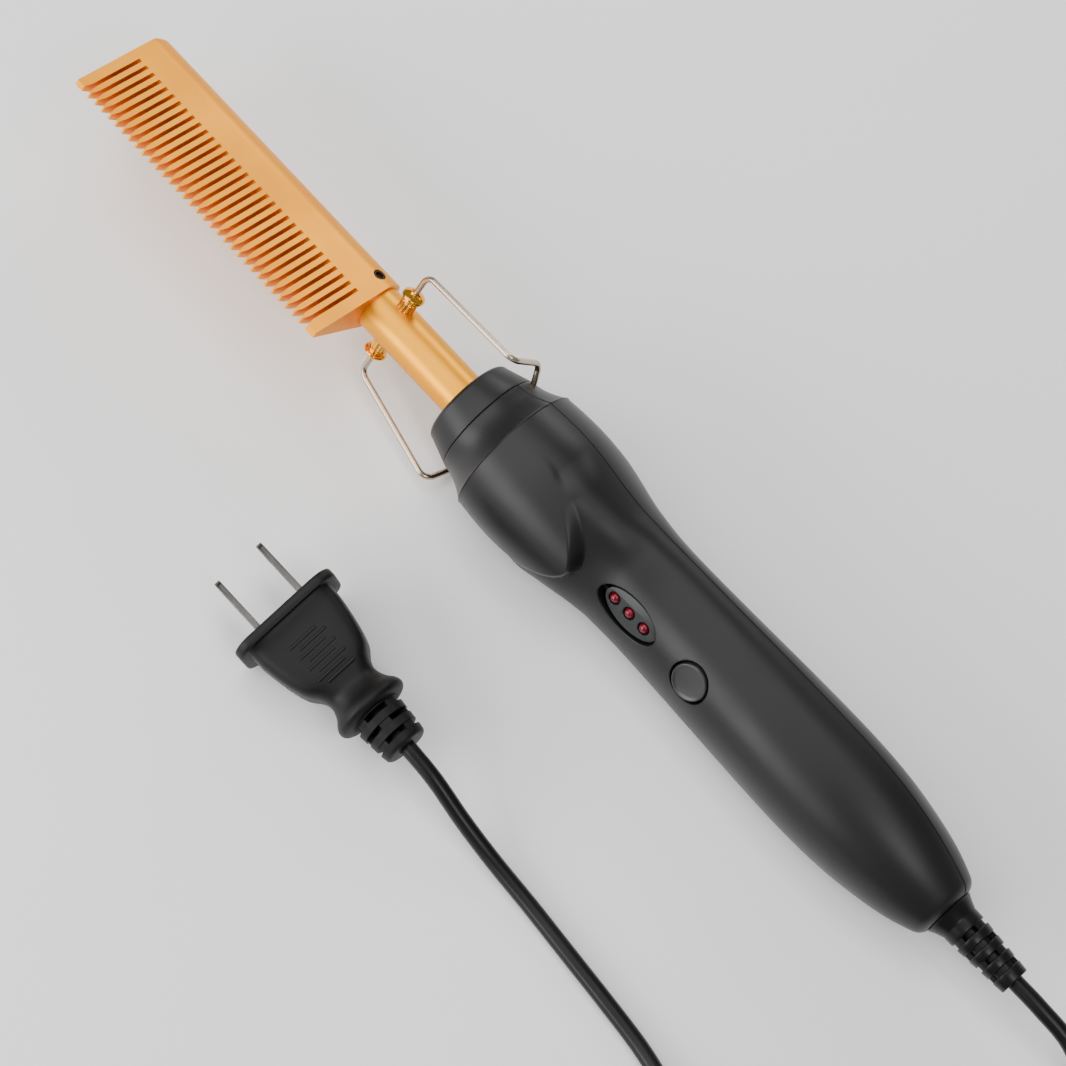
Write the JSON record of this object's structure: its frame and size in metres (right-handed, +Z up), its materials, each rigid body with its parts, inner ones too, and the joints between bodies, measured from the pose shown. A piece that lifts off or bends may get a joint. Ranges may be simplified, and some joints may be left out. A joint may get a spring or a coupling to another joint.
{
  "type": "hot_comb",
  "caption": "Electric hot comb with a gold comb head, wire side guards, black waisted handle with push button and lights, and a swivel cord ending in a two-blade plug",
  "frame": {"origin": "On the table, under the middle of the comb's length without its cord: x and y at the middle of the box of all pieces but the cord and plug, z at the surface that it lies on.", "axes": "+X runs along the comb from the comb head to the cord, +Y points across it to the side away from the teeth, and +Z points up from the table."},
  "size_m": [0.3455, 0.1217, 0.039],
  "materials": {
    "head_gold": "satin peach-gold coated comb head",
    "barrel_gold": "satin gold coated barrel",
    "post_brass": "polished turned brass",
    "wire_steel": "drawn steel wire",
    "black_steel": "blackened steel",
    "screw_steel": "zinc-plated steel",
    "bare_aluminium": "machined aluminium",
    "ceramic_white": "off-white ceramic or heat-resistant plastic",
    "sensor_amber": "glass-bead sensor",
    "holder_brown": "heat-resistant phenolic",
    "handle_black": "satin black moulded plastic",
    "window_dark": "glossy dark window",
    "light_red": "dark red moulded lens",
    "button_black": "semi-gloss black plastic",
    "switch_black": "black component plastic",
    "switch_steel": "stamped steel switch can",
    "board_green": "circuit board with green mask",
    "capacitor_yellow": "yellow film capacitor",
    "lead_red": "silicone-covered heater lead",
    "lead_white": "silicone-covered sensor lead",
    "lead_blue": "mains lead",
    "contact_brass": "contact brass",
    "cord_black": "matte black cord jacket",
    "tie_black": "black cord tie",
    "plug_black": "black moulded plug",
    "blade_nickel": "nickel-plated blade"
  },
  "bodies": {
    "comb": {"comb_head": "head_gold", "head_set_screw": "black_steel", "barrel_tube": "barrel_gold", "heat_spreader": "bare_aluminium", "ceramic_heater": "ceramic_white", "temperature_sensor": "sensor_amber", "guard_post_upper": "post_brass", "guard_post_lower": "post_brass", "guard_wire_upper": "wire_steel", "guard_wire_lower": "wire_steel", "nose_ring": "handle_black", "barrel_holder": "holder_brown", "front_shell": "handle_black", "back_shell": "handle_black", "shell_screws": "screw_steel", "light_window": "window_dark", "light_low": "light_red", "light_mid": "light_red", "light_high": "light_red", "switch_body": "switch_steel", "control_board": "board_green", "board_screws": "screw_steel", "control_chip": "switch_black", "power_triac": "switch_black", "filter_capacitor": "capacitor_yellow", "thermal_fuse": "ceramic_white", "heater_leads": "lead_red", "sensor_leads": "lead_white", "mains_leads": "lead_blue", "brush_holder": "ceramic_white", "brush_live": "contact_brass", "brush_neutral": "contact_brass", "cord_to_coil": "cord_black", "cord_coil": "cord_black", "coil_tie": "tie_black", "cord_to_plug": "cord_black", "plug_body": "plug_black", "plug_blade_left": "blade_nickel", "plug_blade_right": "blade_nickel"},
    "button": {"power_button": "button_black", "switch_plunger": "switch_black"},
    "cord_swivel": {"strain_relief": "cord_black", "swivel_spool": "ceramic_white", "slip_ring_live": "contact_brass", "slip_ring_neutral": "contact_brass"}
  },
  "joints": [
    {"name": "button_press", "type": "slide", "parent": "comb", "child": "button", "axis": [-0.0186, 0.809, -0.5875], "range_m": [0, 0.0005], "stiffness_N_per_m": 1500, "springref_m": -0.0003},
    {"name": "cord_swivel_turn", "type": "hinge", "parent": "comb", "child": "cord_swivel", "pos_m": [0.12552, 0.0008, 0.01366], "axis": [0.9995, 0, -0.0316], "continuous": true}
  ]
}
